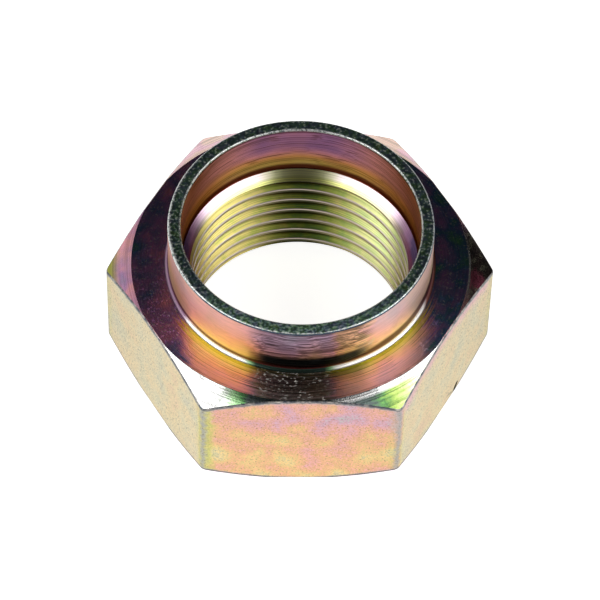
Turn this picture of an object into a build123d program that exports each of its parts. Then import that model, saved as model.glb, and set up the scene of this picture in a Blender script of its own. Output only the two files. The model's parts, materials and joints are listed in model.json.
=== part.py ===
from build123d import *
from math import radians, sqrt, tan
import os

# Spindle nut: a hexagon nut with a thin locking collar, turned in one piece from hexagon bar.
# Screwed on a spindle, it bears on its flat end, and the collar is staked into a slot there.
# The frame's origin is the centre of the bearing face. +Z runs along the thread's axis towards
# the collar, and two corners of the hexagon lie on the X axis. All sizes are in millimetres.

# Hexagon: drawn bar, 1-7/16 inch between flats, with the rounded corners of such bar
across_flats = 36.51
bar_corner_radius = 0.70
hexagon_height = 14.70

# Ends of the hexagon: the flat face that each end keeps, and the slope of the cone outside it
collar_end_face_diameter = 36.48
collar_end_slope_deg = 31.0
bearing_face_diameter = 36.86
bearing_end_slope_deg = 31.5

# Locking collar: a thin ring that a punch can bend inwards
collar_diameter = 28.56
collar_wall = 1.40
collar_height = 6.65
collar_foot_radius = 0.50
rim_outer_break = 0.25
rim_inner_break = 0.20

# Thread: 1 inch by 14 to the inch, of which the solid has the bore through the crests
inch = 25.4
thread_major_diameter = 1.0 * inch
threads_per_inch = 14

# Mouth of the thread inside the collar: a flat step round a cone, a little below the end face
recess_sink = 0.07
recess_step = 0.11
collar_mouth_angle_deg = 100.0

# Lead-in cone of the thread at the bearing face
lead_in_diameter = 28.0
lead_in_angle_deg = 90.0

# A 60 degree thread's basic minor diameter is its major less 5/4 of the sharp thread height
thread_pitch = inch / threads_per_inch
sharp_thread_height = thread_pitch * sqrt(3) / 2
thread_minor_diameter = thread_major_diameter - sharp_thread_height * 5 / 4

# Radii of the turned outline, whose cones run out past the bar's corners
sharp_corner_radius = across_flats / sqrt(3)
collar_end_face_radius = collar_end_face_diameter / 2
bearing_face_radius = bearing_face_diameter / 2
collar_radius = collar_diameter / 2

# Radii of the bored outline
bore_radius = thread_minor_diameter / 2
recess_radius = collar_radius - collar_wall
collar_mouth_radius = recess_radius - recess_step
lead_in_radius = lead_in_diameter / 2

# Levels up the axis
bearing_cone_width = sharp_corner_radius - bearing_face_radius
collar_cone_width = sharp_corner_radius - collar_end_face_radius
bearing_cone_top_z = bearing_cone_width * tan(radians(bearing_end_slope_deg))
collar_cone_drop = collar_cone_width * tan(radians(collar_end_slope_deg))
collar_cone_foot_z = hexagon_height - collar_cone_drop
total_height = hexagon_height + collar_height
recess_floor_z = hexagon_height - recess_sink
collar_mouth_depth = (collar_mouth_radius - bore_radius) / tan(radians(collar_mouth_angle_deg / 2))
lead_in_depth = (lead_in_radius - bore_radius) / tan(radians(lead_in_angle_deg / 2))

# Two levels closer than this are one level
same_level = 0.001


def circles_at(part, height):
    """The part's circular edges at one height, from the smallest to the largest."""
    circles = part.edges().filter_by(GeomType.CIRCLE)
    level = circles.filter_by_position(Axis.Z, height - same_level, height + same_level)
    return level.sort_by(SortBy.RADIUS)


with BuildPart() as spindle_nut:
    # Hexagon bar as long as the whole nut
    with BuildSketch() as bar:
        RegularPolygon(across_flats / 2, side_count=6, major_radius=False)
        fillet(bar.vertices(), radius=bar_corner_radius)
    extrude(amount=total_height)

    # Turned outline: a cone at each end of the hexagon, and the collar above the end face
    with BuildSketch(Plane.XZ):
        with BuildLine():
            Polyline(
                (0, 0),
                (bearing_face_radius, 0),
                (sharp_corner_radius, bearing_cone_top_z),
                (sharp_corner_radius, collar_cone_foot_z),
                (collar_end_face_radius, hexagon_height),
                (collar_radius, hexagon_height),
                (collar_radius, total_height),
                (0, total_height),
                close=True,
            )
        make_face()
    revolve(axis=Axis.Z, mode=Mode.INTERSECT)

    # Bored outline: lead-in cone, thread bore, mouth cone and the recess inside the collar
    with BuildSketch(Plane.XZ):
        with BuildLine():
            Polyline(
                (0, 0),
                (lead_in_radius, 0),
                (bore_radius, lead_in_depth),
                (bore_radius, recess_floor_z - collar_mouth_depth),
                (collar_mouth_radius, recess_floor_z),
                (recess_radius, recess_floor_z),
                (recess_radius, total_height),
                (0, total_height),
                close=True,
            )
        make_face()
    revolve(axis=Axis.Z, mode=Mode.SUBTRACT)

    # The turning tool's radius at the collar's foot, and the two broken edges of its rim
    fillet(circles_at(spindle_nut, hexagon_height)[0], radius=collar_foot_radius)
    chamfer(circles_at(spindle_nut, total_height)[-1], length=rim_outer_break)
    chamfer(circles_at(spindle_nut, total_height)[0], length=rim_inner_break)

spindle_nut.part.label = "spindle_nut"

os.makedirs("parts", exist_ok=True)
export_step(spindle_nut.part, "parts/spindle_nut.step")

size = spindle_nut.part.bounding_box().size
print(f"Across corners {size.X:.2f} mm, across flats {size.Y:.2f} mm, height {size.Z:.2f} mm")
print(f"Thread bore {2 * bore_radius:.3f} mm, from z {lead_in_depth:.2f} to "
      f"{recess_floor_z - collar_mouth_depth:.2f} mm, pitch {thread_pitch:.3f} mm")
print(f"Volume {spindle_nut.part.volume:.1f} cubic mm")
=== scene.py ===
# %% [markdown]
# # A plated spindle nut: from its plain solid to its finish
# The nut's size and place come from a solid model, which this script loads and never moves. The
# lesson makes a finer mesh of the same nut, with a real thread and softened edges, gives it the
# look of yellow zinc plating, and sets up a small studio round it. Everything is in metres, +Z is
# up, and the nut stands on its bearing face with its axis on the Z axis.

# %% Load the solid model
import json
from math import atan, atan2, cos, hypot, pi, radians, sin, sqrt, tan

import bmesh
import bpy
from mathutils import Matrix, Vector

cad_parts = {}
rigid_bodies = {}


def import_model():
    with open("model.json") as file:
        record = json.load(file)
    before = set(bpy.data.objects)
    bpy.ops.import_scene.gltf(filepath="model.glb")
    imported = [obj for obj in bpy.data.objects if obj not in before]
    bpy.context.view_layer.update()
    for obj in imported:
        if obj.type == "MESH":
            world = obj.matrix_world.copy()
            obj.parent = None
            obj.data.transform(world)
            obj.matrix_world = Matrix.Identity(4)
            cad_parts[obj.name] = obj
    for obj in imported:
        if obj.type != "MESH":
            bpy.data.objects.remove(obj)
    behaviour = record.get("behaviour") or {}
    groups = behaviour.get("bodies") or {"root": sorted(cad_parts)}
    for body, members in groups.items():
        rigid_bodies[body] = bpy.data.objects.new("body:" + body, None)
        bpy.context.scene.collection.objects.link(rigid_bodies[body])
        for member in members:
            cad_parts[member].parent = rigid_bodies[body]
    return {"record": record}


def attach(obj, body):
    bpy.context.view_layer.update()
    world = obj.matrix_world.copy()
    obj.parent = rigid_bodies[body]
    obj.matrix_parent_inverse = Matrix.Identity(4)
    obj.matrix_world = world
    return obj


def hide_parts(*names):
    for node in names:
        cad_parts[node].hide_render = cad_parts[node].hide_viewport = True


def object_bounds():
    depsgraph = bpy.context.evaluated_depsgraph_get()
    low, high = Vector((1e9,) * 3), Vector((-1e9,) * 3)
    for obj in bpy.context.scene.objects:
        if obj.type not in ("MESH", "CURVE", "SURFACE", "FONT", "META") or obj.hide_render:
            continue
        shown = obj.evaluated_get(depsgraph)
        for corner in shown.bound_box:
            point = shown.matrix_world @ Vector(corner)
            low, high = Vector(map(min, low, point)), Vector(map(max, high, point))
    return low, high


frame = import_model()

cad_low, cad_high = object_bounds()
print("Solid model from", [round(c, 5) for c in cad_low], "to", [round(c, 5) for c in cad_high])

# %% [markdown]
# ## The nut's sizes
# What the solid model knows is read from it: the width across flats is its box along Y, and the
# thread's crest radius is in its record. The other sizes are the turned and bored details, as a
# machinist would read them from a drawing. They are written in millimetres and used in metres.

# %% Sizes of the nut
MM = 0.001
thread_mount = next(m for m in frame["record"]["mounts"] if m["name"] == "thread")
flat_radius = (cad_high.y - cad_low.y) / 2
total_height = cad_high.z - cad_low.z
crest_radius = thread_mount["dims"]["r_mm"] * MM

hexagon_height = 14.70 * MM
bar_corner_radius = 0.70 * MM
collar_end_face_radius = 18.24 * MM
collar_end_slope = radians(31.0)
bearing_face_radius = 18.43 * MM
bearing_end_slope = radians(31.5)
collar_radius = 14.28 * MM
recess_radius = 12.88 * MM
recess_floor_z = 14.63 * MM
mouth_radius = 12.77 * MM
mouth_half_angle = radians(50.0)
lead_in_radius = 14.0 * MM
lead_in_half_angle = radians(45.0)
print(f"Across flats {2000 * flat_radius:.2f} mm, height {1000 * total_height:.2f} mm")

# %% [markdown]
# ## The turned outline
# A lathe leaves a shape that is one outline spun about an axis, so the mesh starts as that outline:
# a closed ring of points in the XZ plane. No edge of a tumbled and plated nut is sharp, and a real
# edge catches a thin line of light, so each corner is an arc of its own small radius. Each arc is
# a centre, a radius and two directions, because the hexagon's arcs are moved as a whole later on.

# %% Arcs of the outline
hexagon_edge_radius = 0.22 * MM
foot_radius = 0.50 * MM
rim_outer_radius = 0.26 * MM
rim_inner_radius = 0.22 * MM
recess_corner_radius = 0.10 * MM
lead_in_edge_radius = 0.15 * MM


def arc(centre_r, centre_z, radius, first_deg, last_deg, steps):
    """Points on an arc, from one direction to another, as (radius from the axis, height)."""
    points = []
    for i in range(steps + 1):
        angle = radians(first_deg + (last_deg - first_deg) * i / steps)
        points.append((centre_r + radius * cos(angle), centre_z + radius * sin(angle)))
    return points


# %% [markdown]
# Where the plane of a flat cuts the cone at the hexagon's end, two edges come close: the one
# between end face and cone, and the one between cone and flat. In the middle of a flat the cone
# has run out, and one rounded edge is left. So the centres of both arcs are worked out from how far
# the hexagon reaches in that direction: they part at the corners and join in the middle.

# %% Centres of the hexagon's rounded edges
def edge_centres(reach, face_radius, slope):
    """(radius, depth below the end face) of the arcs at the cone's inner and outer edge."""
    inner = face_radius - hexagon_edge_radius * tan(slope / 2)
    outer = reach - hexagon_edge_radius
    if outer < inner:
        return (outer, hexagon_edge_radius), (outer, hexagon_edge_radius)
    cone_drop = (outer - face_radius) * sin(slope)
    return (inner, hexagon_edge_radius), (outer, (hexagon_edge_radius + cone_drop) / cos(slope))


def hexagon_reach(angle):
    """How far the bar reaches from the axis at an angle, with a flat square to +Y and -Y."""
    from_corner = (angle + pi / 6) % (pi / 3) - pi / 6
    corner_centre = (flat_radius - bar_corner_radius) / cos(pi / 6)
    across = corner_centre * sin(from_corner)
    along = corner_centre * cos(from_corner)
    on_corner = along + sqrt(max(bar_corner_radius**2 - across**2, 0))
    on_flat = flat_radius / cos(pi / 6 - abs(from_corner))
    return on_corner if abs(from_corner) < corner_half_angle else on_flat


corner_half_angle = pi / 6 - atan(tan(pi / 6) * (1 - bar_corner_radius / flat_radius))
corner_reach = hexagon_reach(0)
print(f"Across the rounded corners {2000 * corner_reach:.2f} mm")

# %% Points of the whole outline
bearing_inner, bearing_outer = edge_centres(corner_reach, bearing_face_radius, bearing_end_slope)
collar_inner, collar_outer = edge_centres(corner_reach, collar_end_face_radius, collar_end_slope)
bearing_slope_deg = bearing_end_slope * 180 / pi
collar_slope_deg = collar_end_slope * 180 / pi
lead_in_top_z = (lead_in_radius - crest_radius) / tan(lead_in_half_angle)
mouth_foot_z = recess_floor_z - (mouth_radius - crest_radius) / tan(mouth_half_angle)
lead_in_edge_inset = lead_in_edge_radius * tan(pi / 8)

outline = [
    (crest_radius, lead_in_top_z),
    *arc(lead_in_radius + lead_in_edge_inset, lead_in_edge_radius, lead_in_edge_radius,
         225, 270, 2),
    *arc(bearing_inner[0], bearing_inner[1], hexagon_edge_radius,
         270, 270 + bearing_slope_deg, 2),
    *arc(bearing_outer[0], bearing_outer[1], hexagon_edge_radius,
         270 + bearing_slope_deg, 360, 4),
    *arc(collar_outer[0], hexagon_height - collar_outer[1], hexagon_edge_radius,
         0, 90 - collar_slope_deg, 4),
    *arc(collar_inner[0], hexagon_height - collar_inner[1], hexagon_edge_radius,
         90 - collar_slope_deg, 90, 2),
    *arc(collar_radius + foot_radius, hexagon_height + foot_radius, foot_radius, 270, 180, 6),
    *arc(collar_radius - rim_outer_radius, total_height - rim_outer_radius, rim_outer_radius,
         0, 90, 4),
    *arc(recess_radius + rim_inner_radius, total_height - rim_inner_radius, rim_inner_radius,
         90, 180, 4),
    *arc(recess_radius - recess_corner_radius, recess_floor_z + recess_corner_radius,
         recess_corner_radius, 0, -90, 3),
    (mouth_radius, recess_floor_z),
    (crest_radius, mouth_foot_z),
]
print(f"The outline has {len(outline)} points")

# %% [markdown]
# ## Spin the outline
# The ring of points is a circle primitive whose vertices are moved to their places. The Spin tool
# then turns it about the axis, as the lathe does. The steps are equal and fine enough for three of
# them to fall on each of the bar's small corner radii. The first column starts where such a corner
# ends, so that every flat ends on a column too. The last column falls on the first, so doubles
# are merged.

# %% Helpers for working on one object
def select_only(thing):
    bpy.ops.object.select_all(action="DESELECT")
    thing.select_set(True)
    bpy.context.view_layer.objects.active = thing


def ring_of_points(name, points):
    """A closed ring of edges in the XZ plane, with its vertices at the given (x, z) points."""
    bpy.ops.object.select_all(action="DESELECT")
    bpy.ops.mesh.primitive_circle_add(vertices=len(points), radius=0.01)
    ring = bpy.context.object
    ring.name = name
    for vertex, (x, z) in zip(ring.data.vertices, points):
        vertex.co = (x, 0, z)
    return ring


# %% Spin the nut's body
columns = 6 * round((pi / 3) / (2 * corner_half_angle / 3))

nut = ring_of_points("spindle_nut_finish", outline)
nut.data.transform(Matrix.Rotation(corner_half_angle, 4, "Z"))
bpy.ops.object.mode_set(mode="EDIT")
bpy.ops.mesh.select_all(action="SELECT")
bpy.ops.mesh.spin(steps=columns, angle=2 * pi, center=(0, 0, 0), axis=(0, 0, 1))
bpy.ops.mesh.select_all(action="SELECT")
bpy.ops.mesh.remove_doubles(threshold=0.0005 * MM)
bpy.ops.mesh.normals_make_consistent(inside=False)
bpy.ops.object.mode_set(mode="OBJECT")
print(f"Spun body: {columns} columns, {len(nut.data.polygons)} faces")

# %% [markdown]
# ## Press the hexagon into the body
# The spun body is round out to the corners. A plane cut would give the flats, but it would cut
# through the rounded edges too. So the vertices of each rounded edge are moved together instead, by
# as much as the centre of their arc moves when the bar reaches less far in that direction. Every
# arc keeps its radius, the cones keep their slope, and their curved meeting with the flats comes
# out by itself.

# %% Move the hexagon's rounded edges inwards
def pressed(co):
    """Where a vertex of the round body goes on the hexagon."""
    radius, angle = hypot(co.x, co.y), atan2(co.y, co.x)
    if radius < bearing_inner[0] - hexagon_edge_radius or co.z > hexagon_height + foot_radius / 4:
        return co
    at_collar_end = co.z > hexagon_height / 2
    face_radius = collar_end_face_radius if at_collar_end else bearing_face_radius
    slope = collar_end_slope if at_collar_end else bearing_end_slope
    inner, outer = collar_inner, collar_outer
    if not at_collar_end:
        inner, outer = bearing_inner, bearing_outer
    new_inner, new_outer = edge_centres(hexagon_reach(angle), face_radius, slope)
    depth = hexagon_height - co.z if at_collar_end else co.z
    on_inner = hypot(radius - inner[0], depth - inner[1]) < hexagon_edge_radius * 1.001
    old, new = (inner, new_inner) if on_inner else (outer, new_outer)
    radius += new[0] - old[0]
    depth += new[1] - old[1]
    z = hexagon_height - depth if at_collar_end else depth
    return Vector((radius * cos(angle), radius * sin(angle), z))


for vertex in nut.data.vertices:
    vertex.co = pressed(vertex.co)
select_only(nut)
bpy.ops.object.mode_set(mode="EDIT")
bpy.ops.mesh.select_all(action="SELECT")
bpy.ops.mesh.remove_doubles(threshold=0.0005 * MM)
bpy.ops.mesh.normals_make_consistent(inside=False)
bpy.ops.object.mode_set(mode="OBJECT")
print("Pressed body:", [round(1000 * d, 2) for d in nut.dimensions], "mm")

# %% [markdown]
# ## Cut the thread
# A tap cuts a groove that climbs by one pitch a turn. The cutter here is the shape of that groove:
# a trapezium with 60 degrees between its sides, drawn as a ring and carried round and up by the
# Screw modifier, with its two ends closed. A Boolean modifier takes it out of the body, and since
# it runs past the bore at both ends, it fades out over the cones as a real tapped thread does.

# %% The groove's section and path
thread_pitch = 25.4 * MM / 14
major_radius = 12.70 * MM
root_width = thread_pitch / 8
cutter_inner_radius = crest_radius - 0.20 * MM
cutter_turns = 10
turns_below_back = 7
steps_per_turn = 128
crest_z_at_back = 12.04 * MM
fade_start_turns = 1 + 100 / 360
fade_end_turns = 1 + 200 / 360
most_drawn_back = 0.95

inner_width = root_width + 2 * (major_radius - cutter_inner_radius) * tan(radians(30))
groove_z_at_back = crest_z_at_back - thread_pitch / 2
start_z = groove_z_at_back - thread_pitch / 4 - turns_below_back * thread_pitch
fade_start_z = groove_z_at_back + thread_pitch * fade_start_turns
fade_end_z = groove_z_at_back + thread_pitch * fade_end_turns
section = [
    (cutter_inner_radius, start_z - inner_width / 2),
    (major_radius, start_z - root_width / 2),
    (major_radius, start_z + root_width / 2),
    (cutter_inner_radius, start_z + inner_width / 2),
]
print(f"Groove: pitch {1000 * thread_pitch:.3f} mm, {1000 * root_width:.3f} mm wide at its root")

# %% [markdown]
# The tap went in from the bearing face, and its first, shallow teeth made the last of the groove.
# So over the last quarter turn below the collar the cutter draws back to the bore, and the cone at
# the thread's mouth keeps its full width on the far side.

# %% Screw the cutter
cutter = ring_of_points("thread_cutter", section)
select_only(cutter)
bpy.ops.object.modifier_add(type="SCREW")
screw = cutter.modifiers[-1]
screw.axis = "Z"
screw.angle = 2 * pi
screw.screw_offset = thread_pitch
screw.iterations = cutter_turns
screw.steps = steps_per_turn
screw.render_steps = steps_per_turn
bpy.ops.object.modifier_apply(modifier=screw.name)
for vertex in cutter.data.vertices:
    radius, angle = hypot(vertex.co.x, vertex.co.y), atan2(vertex.co.y, vertex.co.x)
    groove_z = groove_z_at_back + thread_pitch * (angle - pi / 2) / (2 * pi)
    climbed = groove_z + thread_pitch * round((vertex.co.z - groove_z) / thread_pitch)
    faded = (climbed - fade_start_z) / (fade_end_z - fade_start_z)
    drawn_back = min(max(faded, 0), most_drawn_back)
    shorter = 1 - drawn_back * (radius - cutter_inner_radius) / radius
    vertex.co.x *= shorter
    vertex.co.y *= shorter
bpy.ops.object.mode_set(mode="EDIT")
bpy.ops.mesh.select_all(action="DESELECT")
bpy.ops.mesh.select_mode(type="EDGE")
bpy.ops.mesh.select_non_manifold()
bpy.ops.mesh.edge_face_add()
bpy.ops.mesh.select_all(action="SELECT")
bpy.ops.mesh.normals_make_consistent(inside=False)
bpy.ops.object.mode_set(mode="OBJECT")
print(f"Thread cutter: {len(cutter.data.polygons)} faces")

# %% Take the groove out of the body
select_only(nut)
bpy.ops.object.modifier_add(type="BOOLEAN")
tap = nut.modifiers[-1]
tap.operation = "DIFFERENCE"
tap.solver = "EXACT"
tap.object = cutter
bpy.ops.object.modifier_apply(modifier=tap.name)
bpy.data.objects.remove(cutter)
print(f"Threaded body: {len(nut.data.polygons)} faces")

# %% [markdown]
# ## One nick
# The nut has been knocked about. The worst dent is on the lower edge of the flat at the front
# right: a narrow gouge that slants up the flat. A long, thin ball takes it out. The scratch beside
# it is too shallow to be cut, so it is left to the finish of the flats.

# %% Cut the nick
nick_low = Vector((17.00, -7.08, 0.34)) * MM
nick_high = Vector((17.46, -6.28, 1.26)) * MM
nick_half_width = 0.32 * MM
nick_depth = 0.45 * MM
nick_flat_angle = radians(330)
nick_middle = (nick_low + nick_high) / 2
nick_half_length = (nick_high - nick_low).length / 2
outward = Vector((cos(nick_flat_angle), sin(nick_flat_angle), 0))
along = (nick_high - nick_low).normalized()
across = outward.cross(along).normalized()
bpy.ops.object.select_all(action="DESELECT")
bpy.ops.mesh.primitive_uv_sphere_add(segments=16, ring_count=10, radius=1.0)
ball = bpy.context.object
ball.name = "nick_cutter"
stretch = Matrix((across * nick_half_width, outward * nick_depth, along * nick_half_length))
ball.data.transform(Matrix.Translation(nick_middle) @ stretch.transposed().to_4x4())
select_only(nut)
bpy.ops.object.modifier_add(type="BOOLEAN")
gouge = nut.modifiers[-1]
gouge.operation = "DIFFERENCE"
gouge.solver = "EXACT"
gouge.object = ball
bpy.ops.object.modifier_apply(modifier=gouge.name)
bpy.data.objects.remove(ball)
print(f"Nicked body: {len(nut.data.polygons)} faces")

# %% Clear the slivers that the cuts left
sliver_width = 0.003 * MM
bpy.ops.object.mode_set(mode="EDIT")
bpy.ops.mesh.select_all(action="SELECT")
bpy.ops.mesh.remove_doubles(threshold=sliver_width)
bpy.ops.mesh.dissolve_degenerate(threshold=sliver_width)
bpy.ops.mesh.normals_make_consistent(inside=False)
bpy.ops.object.mode_set(mode="OBJECT")
print(f"Cleared body: {len(nut.data.polygons)} faces")

# %% [markdown]
# ## Sort the faces by how they were made
# The nut has one plating, but it looks different on drawn flats, on turned faces and in the
# thread. Each face gets the name of its finish, from where it lies and how far it faces up or
# down: 0 is an upright face, and 1 a level one.

# %% Give each face its finish
finish_names = ["flat", "edge", "end_face", "chamfer", "foot", "collar", "rim", "recess", "mouth",
                "thread", "shaded_nick"]
hair = 0.01 * MM
hexagon_starts = 17.7 * MM
end_face_starts = 13.9 * MM
collar_starts = 13.5 * MM
flat_tilt, edge_tilt, end_face_tilt = 0.02, 0.84, 0.93
mouth_least_tilt, mouth_most_tilt = 0.70, 0.82
unnicked = 0.99


def finish_of(face):
    """The name of a face's finish, by its place and tilt."""
    radius, z, tilt = hypot(face.center.x, face.center.y), face.center.z, abs(face.normal.z)
    at_nick = (face.center - nick_middle).length < nick_half_length
    if at_nick and face.normal.dot(outward) < unnicked:
        return "shaded_nick"
    if radius > hexagon_starts and tilt < flat_tilt:
        return "flat"
    if radius > hexagon_starts and tilt < edge_tilt:
        return "edge"
    if z < hexagon_height + hair and radius > end_face_starts:
        return "end_face" if tilt > end_face_tilt else "chamfer"
    if z > total_height - rim_outer_radius:
        return "rim"
    if z < hexagon_height + foot_radius and radius > collar_radius + hair / 2:
        return "foot"
    if z > hexagon_height and radius > collar_starts:
        return "collar"
    if z > recess_floor_z - hair:
        return "recess"
    mouth_tilt = mouth_least_tilt < face.normal.z < mouth_most_tilt
    if z > mouth_foot_z and radius > crest_radius + 2 * hair and mouth_tilt:
        return "mouth"
    return "thread"


face_finishes = [finish_of(face) for face in nut.data.polygons]
for name in finish_names:
    print(f"{name}: {face_finishes.count(name)} faces")

# %% [markdown]
# ## Smooth the shading
# Faces that meet at less than about 30 degrees are shaded as one surface, and steeper edges stay
# crisp. Weighted normals then let the large faces win, so that a flat shades flat right up to the
# small radius at its edge. On what was turned or tapped, each normal is last turned to point
# exactly away from the axis, which takes the faint facets out of the round faces.

# %% Shade the nut
select_only(nut)
bpy.ops.object.shade_smooth_by_angle(angle=radians(32))
bpy.ops.object.modifier_add(type="WEIGHTED_NORMAL")
weighted = nut.modifiers[-1]
weighted.keep_sharp = True
weighted.weight = 90
bpy.ops.object.modifier_apply(modifier=weighted.name)

normals = [normal.vector.copy() for normal in nut.data.corner_normals]
for face, name in zip(nut.data.polygons, face_finishes):
    if name in ("flat", "edge", "shaded_nick"):
        continue
    middle_out = Vector((face.center.x, face.center.y, 0)).normalized()
    for loop in face.loop_indices:
        corner = nut.data.vertices[nut.data.loops[loop].vertex_index].co
        corner_out = Vector((corner.x, corner.y, 0)).normalized()
        if name == "thread":
            slope, rise = face.normal.dot(middle_out), face.normal.z
        else:
            slope, rise = normals[loop].dot(corner_out), normals[loop].z
        normals[loop] = (corner_out * slope + Vector((0, 0, rise))).normalized()
nut.data.normals_split_custom_set(normals)

solid_check = bmesh.new()
solid_check.from_mesh(nut.data)
print("Open edges:", sum(1 for edge in solid_check.edges if len(edge.link_faces) != 2))
solid_check.free()

# %% [markdown]
# ## The plating's colours
# Yellow chromate on zinc is a thin clear film. Light that bounces off its top and its bottom makes
# colours that follow its thickness: from a bare blue-grey over straw, yellow, orange and pink to
# purple, blue, green, lime and yellow again. So a finish works out a film thickness from 0 to 1 for
# each place, and a ramp turns that into a colour.

# %% Colours of the film
film_colours = [
    (0.00, (0.36, 0.42, 0.46)),
    (0.07, (0.46, 0.60, 0.34)),
    (0.15, (0.76, 0.68, 0.40)),
    (0.28, (0.90, 0.64, 0.14)),
    (0.40, (0.88, 0.40, 0.14)),
    (0.52, (0.86, 0.34, 0.40)),
    (0.63, (0.42, 0.20, 0.46)),
    (0.73, (0.10, 0.18, 0.36)),
    (0.82, (0.12, 0.36, 0.14)),
    (0.92, (0.52, 0.62, 0.12)),
    (1.00, (0.84, 0.72, 0.24)),
]
print(f"The film has {len(film_colours)} colours")

# %% [markdown]
# Nodes are added by a few helpers, which keep each finish short enough to read. Whatever is given
# to them may be a number, a colour or another node's socket: a socket is linked, and the rest is
# written in. First come the helpers that any node tree can use.

# %% Helpers for any node tree
class Nodes:
    """A node tree, with helpers that add nodes to it."""

    def __init__(self, tree):
        self.tree = tree

    def add(self, kind, settings=None, **inputs):
        """A new node, with its settings made and its inputs linked or written in."""
        node = self.tree.nodes.new("ShaderNode" + kind)
        for name, value in (settings or {}).items():
            setattr(node, name, value)
        for name, value in inputs.items():
            self.put(node.inputs[name.replace("_", " ")], value)
        return node

    def put(self, socket, value):
        """Link another node's socket to this one, or write a value into it."""
        if isinstance(value, bpy.types.NodeSocket):
            self.tree.links.new(value, socket)
        else:
            socket.default_value = value

    def vector(self, operation, a, b=None):
        node = self.add("VectorMath", {"operation": operation})
        self.put(node.inputs[0], a)
        if b is not None:
            self.put(node.inputs[1], b)
        one_number = operation in ("LENGTH", "DISTANCE", "DOT_PRODUCT")
        return node.outputs["Value" if one_number else "Vector"]

    def math(self, operation, a, b=0.0, c=0.0):
        node = self.add("Math", {"operation": operation})
        for socket, value in zip(node.inputs, (a, b, c)):
            self.put(socket, value)
        return node.outputs[0]

    def fade(self, value, start, end, low=0.0, high=1.0):
        """A smooth step of a value from low at the start to high at the end."""
        node = self.add("MapRange", {"interpolation_type": "SMOOTHSTEP"}, Value=value,
                        From_Min=start, From_Max=end, To_Min=low, To_Max=high)
        return node.outputs["Result"]

    def product(self, first, *factors):
        """A number times any others."""
        for factor in factors:
            first = self.math("MULTIPLY", first, factor)
        return first

    def total(self, first, *terms):
        """A number plus any terms, each a (socket, weight) pair."""
        for socket, weight in terms:
            first = self.math("MULTIPLY_ADD", socket, weight, first)
        return first

    def off(self, value, middle):
        """How far a value is from its middle, on either side."""
        return self.math("ABSOLUTE", self.math("SUBTRACT", value, middle))


# %% [markdown]
# A finish is a metal with such nodes in front of its shader. It starts from the place on the nut in
# millimetres, and from that place's radius and angle round the axis, because nearly all that was
# done to the nut was done in rings: turning marks, bands of film and worn edges.

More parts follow.
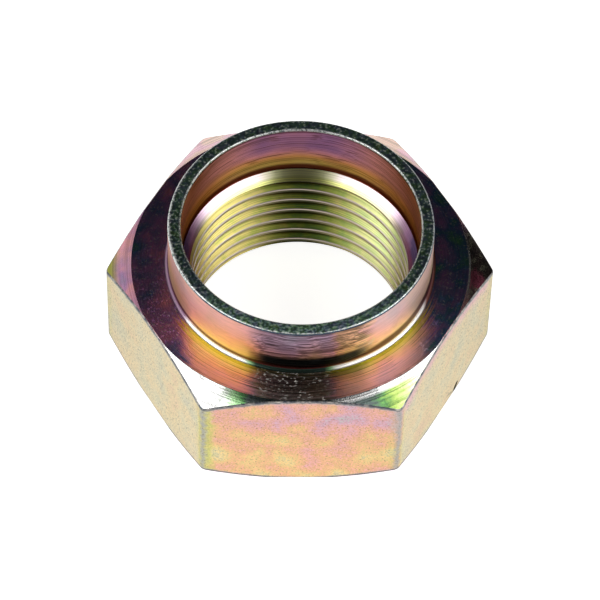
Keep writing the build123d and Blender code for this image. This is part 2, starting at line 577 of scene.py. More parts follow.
# %% Helpers for one finish
class Finish(Nodes):
    """A plated metal, with helpers for its patterns. Lengths are in millimetres."""

    def __init__(self, name, roughness):
        self.material = bpy.data.materials.new(name + "_plating")
        self.material.use_nodes = True
        super().__init__(self.material.node_tree)
        self.shader = self.tree.nodes["Principled BSDF"]
        self.shader.inputs["Metallic"].default_value = 1.0
        self.shader.inputs["Roughness"].default_value = roughness
        place = self.add("TexCoord").outputs["Object"]
        self.place = self.vector("MULTIPLY", place, (1000, 1000, 1000))
        parts = self.add("SeparateXYZ", Vector=self.place)
        self.x, self.y, self.z = parts.outputs
        flat_place = self.vector("MULTIPLY", self.place, (1, 1, 0))
        self.radius = self.vector("LENGTH", flat_place)
        self.angle = self.math("ARCTAN2", self.y, self.x)
        self.aside = self.math("ABSOLUTE", self.x)

    def report(self):
        print(f"{self.material.name}: {len(self.tree.nodes)} nodes")

    def collar_end(self):
        """1 on the end of the hexagon that has the collar, and 0 on the bearing end."""
        middle_z = 1000 * hexagon_height / 2
        return self.fade(self.z, middle_z - 0.5, middle_z + 0.5)

    def noise(self, size, detail=2.0, place=None, distortion=0.0, harshness=0.5):
        """Noise from 0 to 1 whose patches are about this size."""
        node = self.add("TexNoise", Vector=place or self.place, Scale=1.0 / size, Detail=detail,
                        Roughness=harshness, Distortion=distortion)
        return node.outputs[0]

    def specks(self, size, least, amount=1.0, ground=0.0):
        """Scattered dots of one value on a ground of another, where noise is at least so high."""
        return self.fade(self.noise(size, 1.0), least, least + 0.06, ground, ground + amount)

    def shade(self, colour, *factors):
        """A colour times any number of brightness factors."""
        for factor in factors:
            colour = self.vector("MULTIPLY", colour, factor)
        return colour

    def rings(self, size, wander=0.25, detail=2.0, height=None):
        """Fine lines that run round the axis, as a turning tool leaves them."""
        drift = self.noise(7.0)
        radius = self.math("MULTIPLY_ADD", drift, wander, self.radius)
        height = self.math("MULTIPLY_ADD", drift, wander, height or self.z)
        line_place = self.add("CombineXYZ", X=radius, Y=0.0, Z=height)
        return self.noise(size, detail, line_place.outputs[0])

    def dashes(self, size, least, stretch=5.0):
        """Short marks that run round the axis, where stretched noise is at least so high."""
        round_place = self.math("MULTIPLY", self.angle, 16.0 / stretch)
        dash_place = self.add("CombineXYZ", X=self.radius, Y=round_place, Z=0.0)
        return self.fade(self.noise(size, 1.0, dash_place.outputs[0]), least, least + 0.06)

    def ring_shade(self, rings, darkest, first=0.36, last=0.56):
        """Brightness factors that make the low places of the rings dark."""
        return self.fade(rings, first, last, darkest, 1.0)

    def film(self, thickness, colours=film_colours, longest=1.0):
        """A colour ramp, whose positions run from 0 to the longest."""
        if longest != 1.0:
            thickness = self.math("DIVIDE", thickness, longest)
        node = self.add("ValToRGB", Fac=thickness)
        stops = node.color_ramp.elements
        while len(stops) < len(colours):
            stops.new(0.5)
        for stop, (position, colour) in zip(stops, colours):
            stop.position = position / longest
            stop.color = (*colour, 1)
        return node.outputs["Color"]

    def mix(self, factor, a, b):
        """The first colour where the factor is 0, and the second where it is 1."""
        node = self.add("Mix", {"data_type": "RGBA", "blend_type": "MIX"})
        for name, value in (("Factor_Float", factor), ("A_Color", a), ("B_Color", b)):
            socket = next(s for s in node.inputs if s.identifier == name)
            self.put(socket, (*value, 1) if isinstance(value, tuple) else value)
        return next(s for s in node.outputs if s.identifier == "Result_Color")

    def colour(self, socket):
        self.put(self.shader.inputs["Base Color"], socket)

    def roughness(self, socket):
        self.put(self.shader.inputs["Roughness"], socket)

    def bump(self, *heights):
        """Bumps from (height socket, depth) pairs, one after the other."""
        normal = None
        for height, depth in heights:
            node = self.add("Bump", Height=height, Distance=depth * MM, Strength=1.0)
            if normal:
                self.put(node.inputs["Normal"], normal)
            normal = node.outputs["Normal"]
        self.put(self.shader.inputs["Normal"], normal)

    def groove_lines(self, amount):
        """Stretch highlights across fine grooves that run round the axis."""
        self.shader.inputs["Anisotropic"].default_value = amount
        self.shader.inputs["Anisotropic Rotation"].default_value = 0.25
        tangent = self.add("Tangent", {"direction_type": "RADIAL", "axis": "Z"})
        self.put(self.shader.inputs["Tangent"], tangent.outputs["Tangent"])


# %% [markdown]
# ### Flats
# The flats still have the drawn skin of the bar, tumbled to a fine grain. The film on it is milky
# and thin, with soft patches. It hung thicker on the front of the nut, where it goes over to
# orange and pink, most of all towards the top right. So the patches are noise, the front adds to
# their thickness, and a straw colour over the film is its milkiness.

# %% Film on the flats
flat = Finish("flat", 0.42)
flat_film_colours = [
    (0.00, (0.40, 0.48, 0.44)),
    (0.08, (0.58, 0.62, 0.36)),
    (0.16, (0.76, 0.68, 0.40)),
    (0.28, (0.92, 0.68, 0.24)),
    (0.40, (0.90, 0.46, 0.22)),
    (0.52, (0.86, 0.38, 0.38)),
    (0.64, (0.68, 0.36, 0.58)),
    (0.76, (0.38, 0.56, 0.48)),
]
front = flat.fade(flat.y, -17.2, -18.1)
front_upper = flat.product(front, flat.fade(flat.z, 3.0, 12.0))
front_upper_right = flat.product(front_upper, flat.fade(flat.x, 0.0, 8.0))
patches = flat.noise(3.0, 4.0, distortion=0.3)
grain = flat.noise(0.18, 3.0)
thickness = flat.total(-0.48, (patches, 0.70), (flat.noise(6.0, 1.0), 0.30), (grain, 0.40),
                       (front, 0.13), (front_upper, 0.12), (front_upper_right, 0.12))
milk = flat.fade(front, 0.0, 1.0, 0.72, 0.27)
colour = flat.mix(milk, flat.film(thickness, flat_film_colours), (0.74, 0.66, 0.48))
flat.report()

# %% [markdown]
# Along every edge the film has been rubbed down to blue-grey, with a lime fringe at the corners.
# A dark line at the very top and bottom is painted: a painted dark reflection of the rounded
# edges. How far a place is from the nearest corner follows from its angle, and how far it is from
# the curved top and bottom of its flat from its radius. Noise frays both. The flat at the front
# right has a pink band along its top as well.

# %% Edges of the flats
corner_radius_mm = 20.5
sixth_turns = flat.math("MULTIPLY_ADD", flat.angle, 3 / pi, 0.5)
corner_angle = flat.off(flat.math("FRACT", sixth_turns), 0.5)
corner_distance = flat.product(corner_angle, radians(60) * corner_radius_mm)
cone_run = flat.math("MAXIMUM", flat.math("SUBTRACT", flat.radius, 1000 * collar_end_face_radius))
top_z = flat.total(1000 * hexagon_height, (cone_run, -tan(collar_end_slope)))
top_depth = flat.math("SUBTRACT", top_z, flat.z)
foot_depth = flat.math("SUBTRACT", flat.z, flat.product(cone_run, tan(bearing_end_slope)))
frayed = flat.product(flat.math("SUBTRACT", flat.noise(0.7, 4.0), 0.5), 1.3)
near_corner = flat.math("ADD", corner_distance, frayed)
near_edge = flat.total(flat.math("MINIMUM", top_depth, flat.product(foot_depth, 1.6)), (frayed, 0.4))
near_top = flat.total(top_depth, (patches, 4.0))

on_right = flat.product(flat.fade(flat.x, 9.4, 10.4, 0.0, 0.65), flat.fade(flat.y, 0.0, -2.0))
pink = flat.product(flat.fade(near_top, 4.6, 2.4), on_right)
front_left = flat.product(front, flat.fade(flat.x, 2.0, -2.0))
lime = flat.product(flat.fade(near_corner, 1.35, 0.55, 0.0, 0.80),
                    flat.fade(front_left, 0.0, 1.0, 0.30, 1.0))
rubbed = flat.math("MAXIMUM", flat.fade(near_corner, 0.65, -0.10, 0.0, 0.85),
                   flat.fade(near_edge, 0.55, 0.30, 0.0, 0.75))
# Painted dark reflection along the very top and bottom edges of the flats.
painted_edge_reflection = flat.fade(near_edge, 0.34, 0.24, 0.0, 0.8)
colour = flat.mix(pink, colour, (0.84, 0.46, 0.58))
colour = flat.mix(lime, colour, (0.64, 0.66, 0.20))
colour = flat.mix(rubbed, colour, (0.42, 0.43, 0.43))
colour = flat.mix(painted_edge_reflection, colour, (0.14, 0.15, 0.16))
flat.report()

# %% [markdown]
# Last come the small dark specks that lie all over the flats, and the thin scratch beside the nick.
# The scratch is a band on either side of a line. It falls evenly along the flat, but its upper end
# bends over and runs level.

# %% Specks and the scratch
scratch_low_run, scratch_low_z = 2.30, 0.48
scratch_slope = -0.58
scratch_top_z = 1.22
scratch_half_width, scratch_core = 0.12, 0.05
colour = flat.mix(flat.specks(0.22, 0.63, 0.7), colour, (0.24, 0.18, 0.11))
run = flat.vector("DOT_PRODUCT", flat.place, (0.5, 0.866, 0.0))
line_z = flat.total(scratch_low_z - scratch_slope * scratch_low_run, (run, scratch_slope))
off_line = flat.off(flat.z, flat.math("MINIMUM", line_z, scratch_top_z))
scratch = flat.product(flat.fade(off_line, scratch_half_width, scratch_core, 0.0, 0.7),
                       flat.fade(run, 0.60, 0.90), flat.fade(run, 2.60, 2.40),
                       flat.fade(flat.x, 15.0, 15.2))
colour = flat.mix(scratch, colour, (0.16, 0.12, 0.08))
flat.colour(flat.shade(colour, flat.fade(grain, 0.25, 0.75, 0.80, 1.08),
                       flat.fade(front, 0.0, 1.0, 1.0, 0.95)))
flat.bump((grain, 0.006), (flat.noise(1.2, 2.0), 0.010))
flat.report()

# %% [markdown]
# ### Nick and rounded edges
# The nick is painted nearly black, as painted shade, and a dark tint on its gloss keeps it so
# where it is seen at a low angle. The rounded edges are rubbed: bare grey metal with brownish
# remains of film.

# %% Finish of the nick and of the rounded edges
# Painted shade: the nick's near-black colour and the dark tint on its gloss.
shaded_nick = Finish("shaded_nick", 0.55)
shaded_nick.shader.inputs["Specular Tint"].default_value = (0.10, 0.08, 0.05, 1)
shaded_nick.colour(shaded_nick.film(shaded_nick.noise(0.3, 2.0), [(0.3, (0.01, 0.01, 0.01)), (0.7, (0.06, 0.04, 0.02))]))
shaded_nick.report()

edge = Finish("edge", 0.38)
edge.colour(edge.film(edge.noise(0.6, 3.0),
                      [(0.40, (0.10, 0.11, 0.13)), (0.70, (0.56, 0.52, 0.46))]))
edge.bump((edge.noise(0.25, 2.0), 0.02))
edge.report()

# %% [markdown]
# ### End faces
# A turned face has fine rings, and its highlights stretch across them. Here the film is bright
# and clear, and its thickness changes slowly round the nut: purple, blue and green at the sides and
# the back, and salmon in front, with a yellow ring next to the collar. The places where these meet
# fray along the rings. The bearing face has the film of the sides all round.

# %% Film on the end faces
end_face = Finish("end_face", 0.28)
rings = end_face.rings(0.16)
frayed = end_face.total(-2.25, (rings, 4.5))
front_width = end_face.math("ADD", end_face.off(end_face.x, 0.55), frayed)
middle_width = end_face.math("ADD", end_face.off(end_face.x, -1.0), frayed)
front = end_face.product(end_face.fade(front_width, 13.8, 11.8),
                         end_face.fade(end_face.y, -2.0, -6.0), end_face.collar_end())
middle = end_face.product(front, end_face.fade(middle_width, 5.2, 2.8))
front_outer = end_face.product(front, end_face.fade(end_face.radius, 14.7, 17.4))
thickness = end_face.total(0.26, (front, -0.42), (front_outer, 0.25),
                           (end_face.noise(5.0, 2.0), 0.34), (end_face.noise(1.9, 4.0), 0.34),
                           (rings, 0.08), (middle, 0.36),
                           (end_face.fade(end_face.x, -8.0, 8.0), 0.07))
salmon = end_face.fade(front, 0.0, 1.0, 0.0, 0.38)
from_collar = end_face.total(end_face.radius, (rings, 1.4))
yellow_ring = end_face.product(front, end_face.fade(from_collar, 16.5, 15.4, 0.0, 0.84))
outer_right = end_face.product(end_face.fade(end_face.x, 2.0, 6.0, 0.0, 0.35), front_outer)
colour = end_face.mix(salmon, end_face.film(thickness), (1.0, 0.80, 0.68))
colour = end_face.mix(yellow_ring, colour, (0.94, 1.0, 0.03))
colour = end_face.mix(outer_right, colour, (1.0, 0.68, 0.68))
end_face.report()

# %% [markdown]
# In the very front the end face is painted nearly black, as a painted dark reflection. Pale rings
# and a few short scuffs stand out there, and the scuffs are rougher than the rest. Away from the
# front the face has a little dust on it.

# %% Painted dark middle, scuffs and dust
pale_rings = end_face.product(middle, end_face.fade(rings, 0.50, 0.60, 0.0, 0.60))
scuffs = end_face.product(end_face.dashes(0.20, 0.59, 2.2),
                          end_face.fade(end_face.noise(1.6, 1.0), 0.36, 0.50), middle)
dust = end_face.product(end_face.specks(0.24, 0.62, 0.50), end_face.math("SUBTRACT", 1.0, front))
# Painted dark reflection over the front middle of the end face.
colour = end_face.mix(end_face.product(middle, 0.80), colour, (0.26, 0.23, 0.19))
colour = end_face.mix(pale_rings, colour, (1.0, 0.97, 0.86))
colour = end_face.mix(scuffs, colour, (0.90, 0.90, 0.84))
colour = end_face.mix(dust, colour, (0.60, 0.60, 0.56))
ring_dark = end_face.fade(front, 0.0, 1.0, 0.85, 0.45)
fine_lines = end_face.ring_shade(end_face.rings(0.09, 0.1), 0.86, 0.44, 0.52)
end_face.colour(end_face.shade(colour, end_face.ring_shade(rings, ring_dark, 0.34, 0.46),
                               fine_lines))
end_face.roughness(end_face.total(end_face.specks(0.20, 0.62, 0.32, 0.28), (scuffs, 0.40)))
end_face.groove_lines(0.80)
end_face.bump((rings, 0.022))
end_face.report()

# %% [markdown]
# ### Chamfers
# The cones outside the end faces were turned too. Their film is pale pink at the back, and the tip
# of the left corner is lime. The right corner is nearly black, with olive blotches and one dark red
# spot. Where it meets the end face, a thin bright line is painted: a painted highlight.

# %% Film on the chamfers
chamfer = Finish("chamfer", 0.24)
rings = chamfer.rings(0.22)
thickness = chamfer.total(0.30, (chamfer.noise(3.0, 3.0, distortion=0.5), 0.46), (rings, 0.06))
pale_colour = chamfer.mix(chamfer.fade(chamfer.noise(2.4, 1.0), 0.42, 0.58),
                          (0.98, 0.66, 0.72), (0.98, 0.76, 0.60))
colour = chamfer.mix(chamfer.fade(chamfer.y, 6.0, 9.0, 0.22, 0.85), chamfer.film(thickness),
                     pale_colour)
left_tip = chamfer.product(chamfer.fade(chamfer.x, -18.0, -19.0),
                           chamfer.fade(chamfer.radius, 19.4, 20.6))
colour = chamfer.mix(left_tip, colour, (0.45, 0.45, 0.10))

right_tip = chamfer.product(chamfer.fade(chamfer.x, 17.5, 18.5), chamfer.fade(chamfer.y, 8.0, 6.0))
blotches = chamfer.noise(0.7, 4.0)
right_colour = chamfer.mix(chamfer.fade(blotches, 0.50, 0.60), (0.06, 0.08, 0.06),
                           (0.46, 0.50, 0.34))
red_spot = chamfer.vector("DISTANCE", chamfer.place, (18.95, -2.1, 14.2))
red_spot = chamfer.fade(chamfer.total(red_spot, (blotches, 1.6)), 2.4, 1.7)
right_colour = chamfer.mix(red_spot, right_colour, (0.66, 0.12, 0.22))
colour = chamfer.mix(chamfer.product(right_tip, 0.85), colour, right_colour)
# Painted highlight: a thin bright line where the right corner meets the end face.
painted_highlight_line = chamfer.product(right_tip, chamfer.fade(chamfer.radius, 18.50, 18.42))
colour = chamfer.mix(painted_highlight_line, colour, (1.0, 1.0, 0.94))
chamfer.report()

# %% [markdown]
# In front the chamfers are worn bare. From the middle to the corners the metal goes over from black
# by way of green to a bright white, so a ramp follows the distance from the middle, which noise and
# rings fray. The black in the middle is a painted dark reflection. It runs on faster on the left,
# and on the right the green has more yellow in it. On the right a white strip along the upper edge
# is a painted highlight.

# %% Bare front of the chamfers
front = chamfer.product(chamfer.fade(chamfer.y, -9.0, -12.0), chamfer.collar_end())
from_middle = chamfer.math("MAXIMUM", chamfer.product(chamfer.x, -1.0),
                           chamfer.total(1.75, (chamfer.x, 0.5)))
frayed = chamfer.total(from_middle, (chamfer.noise(0.5, 4.0), 1.2), (rings, 1.4))
# The black start of both ramps is a painted dark reflection, not wear.
left_bare = chamfer.film(frayed, [(0.0, (0.06, 0.07, 0.09)), (6.9, (0.12, 0.15, 0.14)),
                                  (7.6, (0.16, 0.42, 0.14)), (8.6, (0.50, 0.80, 0.42)),
                                  (9.5, (0.84, 0.90, 0.80)), (10.3, (0.90, 0.90, 0.88))], 12.0)
right_bare = chamfer.film(frayed, [(0.0, (0.06, 0.07, 0.09)), (6.8, (0.10, 0.13, 0.12)),
                                   (7.4, (0.12, 0.28, 0.09)), (8.1, (0.38, 0.52, 0.13)),
                                   (8.8, (0.54, 0.64, 0.30)), (9.6, (0.88, 0.90, 0.80))], 12.0)
bare = chamfer.mix(chamfer.fade(chamfer.x, -1.0, 1.0), left_bare, right_bare)
# Painted highlight: a white strip along the upper edge on the right.
painted_upper_edge_highlight = chamfer.product(chamfer.fade(chamfer.x, 2.5, 4.0),
                             chamfer.fade(chamfer.radius, 18.95, 18.62))
colour = chamfer.mix(front, colour, chamfer.mix(painted_upper_edge_highlight, bare, (0.90, 0.90, 0.88)))
chamfer.colour(chamfer.shade(colour, chamfer.ring_shade(rings, 0.72)))
chamfer.groove_lines(0.55)
chamfer.bump((rings, 0.012), (chamfer.noise(0.3, 2.0), 0.008))
chamfer.report()

# %% [markdown]
# ### Radius at the collar's foot
# The small radius between the end face and the collar catches the light as one white line, and its
# white colour paints that highlight in as well. It goes dark in the very front, which is painted
# shade, purple on the left, and dark red on the right and where it meets the collar.

# %% Finish of the radius at the collar's foot
foot = Finish("foot", 0.34)
middle = foot.product(foot.fade(foot.y, -8.0, -12.0), foot.fade(foot.off(foot.x, -1.2), 5.4, 3.2))
# Painted highlight in white round the radius, and painted shade in black in the front middle.
bare = foot.film(middle, [(0.0, (0.92, 0.88, 0.84)), (0.5, (0.24, 0.42, 0.20)),
                          (0.9, (0.03, 0.05, 0.04))])
colour = foot.mix(foot.fade(foot.x, -11.8, -12.6, 0.0, 0.85), bare, (0.30, 0.14, 0.26))
colour = foot.mix(foot.fade(foot.x, 13.0, 13.6, 0.0, 0.92), colour, (0.20, 0.03, 0.02))
at_collar = foot.fade(foot.z, 14.98, 15.08, 0.0, 0.9)
foot.colour(foot.mix(at_collar, colour, (0.20, 0.04, 0.04)))
foot.bump((foot.rings(0.12), 0.006))
foot.report()

# %% [markdown]
# ### Outside of the collar
# The collar's film goes from yellow at its foot to pink at its rim. In front it is darker, with wavy
# lines where the tool chattered and a yellow patch to the right of them. Under them a black band is
# painted, as painted shade.
# A dark red band runs round the foot, and it reaches higher on the right.

# %% Finish of the collar's outside
collar = Finish("collar", 0.38)
height = collar.fade(collar.z, 15.4, 20.4)
rings = collar.rings(0.22, 1.8)
front = collar.fade(collar.y, -4.0, -9.0)
middle = collar.product(front, collar.fade(collar.off(collar.x, 1.0), 7.4, 4.6))
off_patch = collar.total(collar.off(collar.x, 5.2), (collar.noise(1.6, 3.0), 5.0))
patch = collar.product(front, collar.fade(off_patch, 5.0, 3.4))
thickness = collar.total(0.09, (height, 0.22), (collar.noise(4.5, 2.0), 0.36), (rings, 0.10),
                         (middle, 0.10), (patch, -0.20))
milk = collar.fade(height, 0.2, 1.0, 0.12, 0.30)
side_colour = collar.mix(collar.fade(collar.x, -5.0, 5.0), (1.0, 0.60, 0.40), (1.0, 0.82, 0.66))
# Painted shade: a black band under the wavy lines in front.
painted_black_band = collar.product(middle, collar.fade(collar.z, 17.3, 16.5))
above_foot = collar.total(collar.z, (collar.fade(collar.x, 5.0, 9.0), -0.65))
red_band = collar.fade(above_foot, 15.8, 15.2, 0.0, 0.95)
colour = collar.mix(milk, collar.film(thickness), (0.94, 0.74, 0.66))
colour = collar.mix(collar.fade(collar.aside, 4.0, 10.0, 0.08, 0.56), colour, side_colour)
colour = collar.mix(painted_black_band, colour, (0.02, 0.02, 0.02))
colour = collar.mix(red_band, colour, (0.08, 0.012, 0.008))
wavy_lines = collar.ring_shade(rings, collar.fade(middle, 0.0, 1.0, 0.90, 0.30), 0.40, 0.60)
fine_lines = collar.ring_shade(collar.rings(0.11, 2.6), collar.fade(middle, 0.0, 1.0, 0.94, 0.58),
                               0.45, 0.53)
collar.colour(collar.shade(colour, wavy_lines, fine_lines))
collar.groove_lines(0.70)
collar.bump((rings, 0.030))
collar.report()

# %% [markdown]
# ### Rim
# The rim is a dark, spotted green. Both of its edges are painted pale, a painted highlight of the
# rounded edges, and the pale line is broken here and there where they are knocked, so noise frays
# them. Everywhere but on the left, a thin dark line lies outside the outer one.

# %% Finish of the rim
rim = Finish("rim", 0.40)
spots = rim.noise(0.80, 4.0, distortion=0.6, harshness=0.60)
frayed = rim.total(rim.radius, (rim.noise(0.30, 3.0, harshness=0.7), 0.34))
on_left = rim.fade(rim.x, -10.0, -13.0)
outer_edge = rim.fade(rim.total(frayed, (on_left, 0.14)), 14.24, 14.32)
inner_edge = rim.fade(frayed, 13.31, 13.19)
broken = rim.fade(rim.noise(0.26, 1.0), 0.36, 0.50, 0.15, 1.0)
# Painted highlight along both rounded edges, broken where they are knocked.
painted_edge_highlight = rim.product(rim.math("MAXIMUM", outer_edge, inner_edge), broken)
outermost = rim.product(outer_edge, rim.fade(rim.z, 21.28, 21.23), rim.math("SUBTRACT", 1.0, on_left))
colour = rim.mix(0.62, rim.film(rim.total(0.54, (spots, 0.46))), (0.13, 0.16, 0.12))
colour = rim.shade(colour, rim.fade(rim.y, -7.0, -12.0, 1.0, 2.5))
colour = rim.mix(rim.specks(0.30, 0.59, 0.55), colour, (0.64, 0.68, 0.56))
colour = rim.mix(painted_edge_highlight, colour, (0.74, 0.76, 0.74))
rim.colour(rim.mix(outermost, colour, (0.07, 0.09, 0.13)))
rim.roughness(rim.fade(rim.noise(0.3, 2.0), 0.40, 0.60, 0.30, 0.60))
rim.bump((spots, 0.03), (rim.noise(0.22, 2.0), 0.02))
rim.report()

# %% [markdown]
# ### Recess
# Inside the collar the film goes from a brownish orange at the foot to pink and purple higher up. A
# warm tint keeps the sides from going grey, because they are seen at a low angle, and the sides are
# also painted darker, as painted shade. The corner at the foot and a thin line under the rim are
# dark red.

# %% Finish of the recess
recess = Finish("recess", 0.32)
recess.shader.inputs["Specular Tint"].default_value = (1.0, 0.58, 0.40, 1)
height = recess.fade(recess.z, 15.4, 18.6)
rings = recess.rings(0.22, 1.2)
aside = recess.fade(recess.aside, 3.0, 11.0)
thickness = recess.total(0.16, (height, 0.34), (recess.noise(5.0, 2.0), 0.20), (rings, 0.06),
                         (aside, -0.10))
brown = recess.fade(height, 0.0, 1.0, 0.40, 0.20)
side_colour = recess.mix(recess.fade(recess.z, 16.0, 18.4), (0.76, 0.32, 0.09), (0.72, 0.32, 0.28))
at_foot = recess.fade(recess.z, 15.70, 15.05, 0.0, 0.92)
under_rim = recess.product(recess.fade(recess.z, 20.75, 21.0), recess.fade(aside, 0.0, 1.0, 0.4, 0.9))
colour = recess.mix(brown, recess.film(thickness), (0.24, 0.10, 0.05))
colour = recess.mix(recess.product(aside, 0.85), colour, side_colour)
colour = recess.mix(at_foot, colour, (0.18, 0.025, 0.018))
colour = recess.mix(under_rim, colour, (0.05, 0.02, 0.02))
fine_lines = recess.ring_shade(recess.rings(0.10, 0.4), 0.62, 0.45, 0.53)
# The last factor paints shade: darker towards the sides.
recess.colour(recess.shade(colour, recess.ring_shade(rings, 0.50, 0.36, 0.48), fine_lines,
                           recess.fade(recess.aside, 6.5, 11.5, 1.0, 0.52)))
recess.groove_lines(0.60)
recess.bump((rings, 0.030))
recess.report()

# %% [markdown]
# ### Thread
# The plating bath reached the thread as well, where the film grew thick: lime and green with some
# yellow. The cone at its mouth is brighter. It goes over from straw to a pale pink and then to dark
# purple at both sides, and its inner part, next to the thread, stays yellow for longer.

# %% Finish of the thread's mouth
mouth = Finish("mouth", 0.30)
rings = mouth.rings(0.15)
off_middle = mouth.total(mouth.aside, (mouth.noise(3.0, 2.0), 2.0), (rings, 1.2))
pale = mouth.film(off_middle, [(2.6, (0.88, 0.86, 0.42)), (4.2, (0.86, 0.86, 0.46)),
                               (6.2, (0.78, 0.66, 0.66)), (12.2, (0.74, 0.57, 0.66)),
                               (13.2, (0.66, 0.36, 0.58)), (14.0, (0.20, 0.14, 0.30))], 15.0)
inner = mouth.film(off_middle, [(2.6, (0.84, 0.84, 0.28)), (6.0, (0.82, 0.84, 0.30)),
                                (11.2, (0.84, 0.80, 0.54)), (13.6, (0.46, 0.16, 0.30))], 15.0)
from_axis = mouth.total(mouth.radius, (mouth.noise(0.8, 2.0), 0.3))
mouth.colour(mouth.shade(mouth.mix(mouth.fade(from_axis, 12.45, 12.05), pale, inner),
                         mouth.ring_shade(rings, 0.62)))
mouth.groove_lines(0.50)
mouth.bump((rings, 0.010))
mouth.report()

# %% [markdown]
# The thread's own rings climb with it. So its marks are laid out along the helix: the height of a
# place less what the thread has climbed to that angle. The crests are a dull brass, painted nearly
# black in the middle as a painted dark reflection. A pale pinkish lip along their upper side is a
# painted highlight, and the roots are painted dark, as painted shade deep in the groove. Towards
# the right the thread is painted paler, a painted highlight. One small dark speck sits low on the
# right.

# %% Finish of the thread
thread = Finish("thread", 0.34)
pitch_mm, crest_mm = 1000 * thread_pitch, 1000 * crest_z_at_back
from_back = thread.math("ARCTAN2", thread.product(thread.x, -1.0), thread.y)
along_helix = thread.total(thread.z, (from_back, -pitch_mm / (2 * pi)))
up_from_crest = thread.math("SUBTRACT", along_helix, crest_mm - 7.5 * pitch_mm)
phase = thread.math("SUBTRACT", thread.math("FLOORED_MODULO", up_from_crest, pitch_mm),
                    pitch_mm / 2)
centre = thread.fade(thread.aside, 6.5, 0.5)
rings = thread.rings(0.15, 0.4, height=along_helix)
thickness = thread.total(0.80, (thread.noise(2.2, 3.0, distortion=0.5), 0.26),
                         (thread.fade(thread.x, -10.0, 10.0), -0.07), (centre, -0.06), (rings, 0.16))
crest = thread.fade(thread.radius, 11.80, 11.74)
# Crest brass at the sides, painted nearly black in the middle as a painted dark reflection.
crest_colour_and_dark_reflection = thread.mix(centre, (0.50, 0.42, 0.20), (0.07, 0.07, 0.03))
# Painted highlight: the pale lip along the crests' upper side.
painted_lip_highlight = thread.product(thread.fade(thread.radius, 11.80, 11.77), thread.fade(phase, 0.04, 0.08))
# Painted shade: the roots go dark deep in the groove.
root = thread.fade(thread.total(thread.radius, (centre, 0.26)), 12.22, 12.60, 0.0, 0.94)
speck = thread.fade(thread.vector("DISTANCE", thread.place, (8.03, 9.0, 5.2)), 0.16, 0.10)
# Painted highlight: the thread goes paler towards the right.
colour = thread.mix(thread.fade(thread.x, 3.0, 9.0, 0.0, 0.50), thread.film(thickness),
                    (0.92, 1.0, 0.56))
colour = thread.mix(crest, colour, crest_colour_and_dark_reflection)
colour = thread.mix(painted_lip_highlight, colour, (0.72, 0.62, 0.54))
colour = thread.mix(root, colour, (0.06, 0.04, 0.01))
colour = thread.mix(speck, colour, (0.03, 0.03, 0.02))
thread.colour(thread.shade(colour, thread.ring_shade(rings, 0.70)))
thread.groove_lines(0.40)
thread.bump((rings, 0.010), (thread.noise(0.3, 2.0), 0.010))
thread.report()

# %% Put the finishes on the nut
finishes = [flat, edge, end_face, chamfer, foot, collar, rim, recess, mouth, thread, shaded_nick]
nut.data.materials.clear()
for finish in finishes:
    nut.data.materials.append(finish.material)
for face, name in zip(nut.data.polygons, face_finishes):
    face.material_index = finish_names.index(name)
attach(nut, "root")
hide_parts("spindle_nut")
print(f"{len(finishes)} finishes on {nut.name}")

# %% [markdown]
# ## Studio
# The nut stands on a white floor. Round it the world is white near the horizon, as a low white
# backdrop would be, and dark above it. A pale card at the back left brightens what faces it, and a
# black flag at the back right does the opposite. Two large softboxes stand left and right of the
# camera, and polished metal shows them as the bright patches on its chamfers and in its thread.

# %% World
backdrop_white, dark_above = 1.0, 0.035
fades_from_up, fades_to_up = 0.10, 0.26

world = bpy.data.worlds.new("studio")
bpy.context.scene.world = world
world.use_nodes = True
sky = Nodes(world.node_tree)
direction = sky.add("TexCoord").outputs["Generated"]
up = sky.add("SeparateXYZ", Vector=direction).outputs["Z"]
backdrop = sky.fade(up, fades_from_up, fades_to_up, backdrop_white, dark_above)


def card(toward, first, last, outside, inside):
    """The brightness of a round card in the sky, whose edge fades between two cosines."""
    nearness = sky.vector("DOT_PRODUCT", direction, Vector(toward).normalized())
    return sky.fade(nearness, first, last, outside, inside)


bounce_card = card((-0.80, 0.52, 0.30), 0.90, 0.97, 0.0, 0.7)
black_flag = card((0.65, 0.72, 0.24), 0.93, 0.965, 1.0, 0.03)
lit = sky.product(sky.math("MAXIMUM", backdrop, bounce_card), black_flag)
white_seen = sky.math("MAXIMUM", lit, sky.add("LightPath").outputs["Is Camera Ray"])
sky.put(sky.tree.nodes["Background"].inputs["Color"], white_seen)
print(f"Studio world: {len(sky.tree.nodes)} nodes")

# %% [markdown]
# The floor is matte, and it also glows a little: where the camera sees it, it is as white as the
# world behind it, so that no edge shows, and where the metal mirrors it, it is a soft grey-white.

# %% Floor
floor_radius = 2.0
floor_grey = (0.78, 0.78, 0.78, 1)
glow_seen, glow_mirrored = 0.90, 0.60

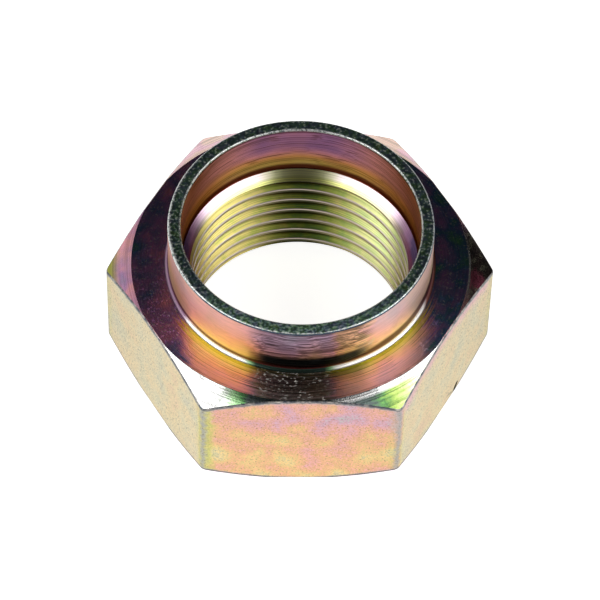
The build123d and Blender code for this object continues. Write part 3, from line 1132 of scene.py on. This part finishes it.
bpy.ops.object.select_all(action="DESELECT")
bpy.ops.mesh.primitive_circle_add(vertices=96, radius=floor_radius, fill_type="NGON")
floor = bpy.context.object
floor.name = "floor"
floor_material = bpy.data.materials.new("white_floor")
floor_material.use_nodes = True
ground = Nodes(floor_material.node_tree)
ground.tree.nodes.remove(ground.tree.nodes["Principled BSDF"])
rays = ground.add("LightPath").outputs
mirrored = ground.math("MAXIMUM", rays["Is Glossy Ray"], rays["Is Transmission Ray"])
glow = ground.total(ground.product(mirrored, glow_mirrored), (rays["Is Camera Ray"], glow_seen))
both = ground.add("AddShader")
ground.put(both.inputs[0], ground.add("BsdfDiffuse", Color=floor_grey).outputs[0])
ground.put(both.inputs[1], ground.add("Emission", Strength=glow).outputs[0])
ground.put(ground.tree.nodes["Material Output"].inputs["Surface"], both.outputs[0])
floor.data.materials.append(floor_material)
print(f"Floor: {2 * floor_radius} m across")

# %% Softboxes
softbox_distance = 0.6
softbox_width, softbox_height = 0.56, 0.40
softbox_power = 1.9
for name, side in (("softbox_left", -1), ("softbox_right", 1)):
    place = Vector((side * 0.70, -0.31, 0.60)).normalized() * softbox_distance
    bpy.ops.object.light_add(type="AREA", location=place)
    light = bpy.context.object
    light.name = name
    light.data.shape = "RECTANGLE"
    light.data.size = softbox_width
    light.data.size_y = softbox_height
    light.data.energy = softbox_power
    light.rotation_euler = place.to_track_quat("Z", "Y").to_euler()
    print(f"{name}: {softbox_power} W from", [round(c, 3) for c in place])

# %% [markdown]
# ## Camera
# The camera looks down at the nut from the front, from about half a metre, with a long lens. Its
# angles and distance come from matching the nut's edges in the photograph.

# %% Camera
camera_azimuth = radians(-1.874)
camera_elevation = radians(54.307)
camera_roll = radians(1.603)
camera_distance = 449.36 * MM
camera_target = Vector((0.134, 1.112, 6.085)) * MM
lens_length = 245.33
turn = (Matrix.Rotation(camera_azimuth, 4, "Z")
        @ Matrix.Rotation(pi / 2 - camera_elevation, 4, "X")
        @ Matrix.Rotation(camera_roll, 4, "Z"))
bpy.ops.object.camera_add()
camera = bpy.context.object
camera.data.sensor_width = 36
camera.data.lens = lens_length
step_back = Matrix.Translation((0, 0, camera_distance))
camera.matrix_world = Matrix.Translation(camera_target) @ turn @ step_back
bpy.context.scene.camera = camera
bpy.context.scene.view_settings.view_transform = "Standard"
print(f"Camera {1000 * camera_distance:.0f} mm away, with a lens of {lens_length:.0f} mm")
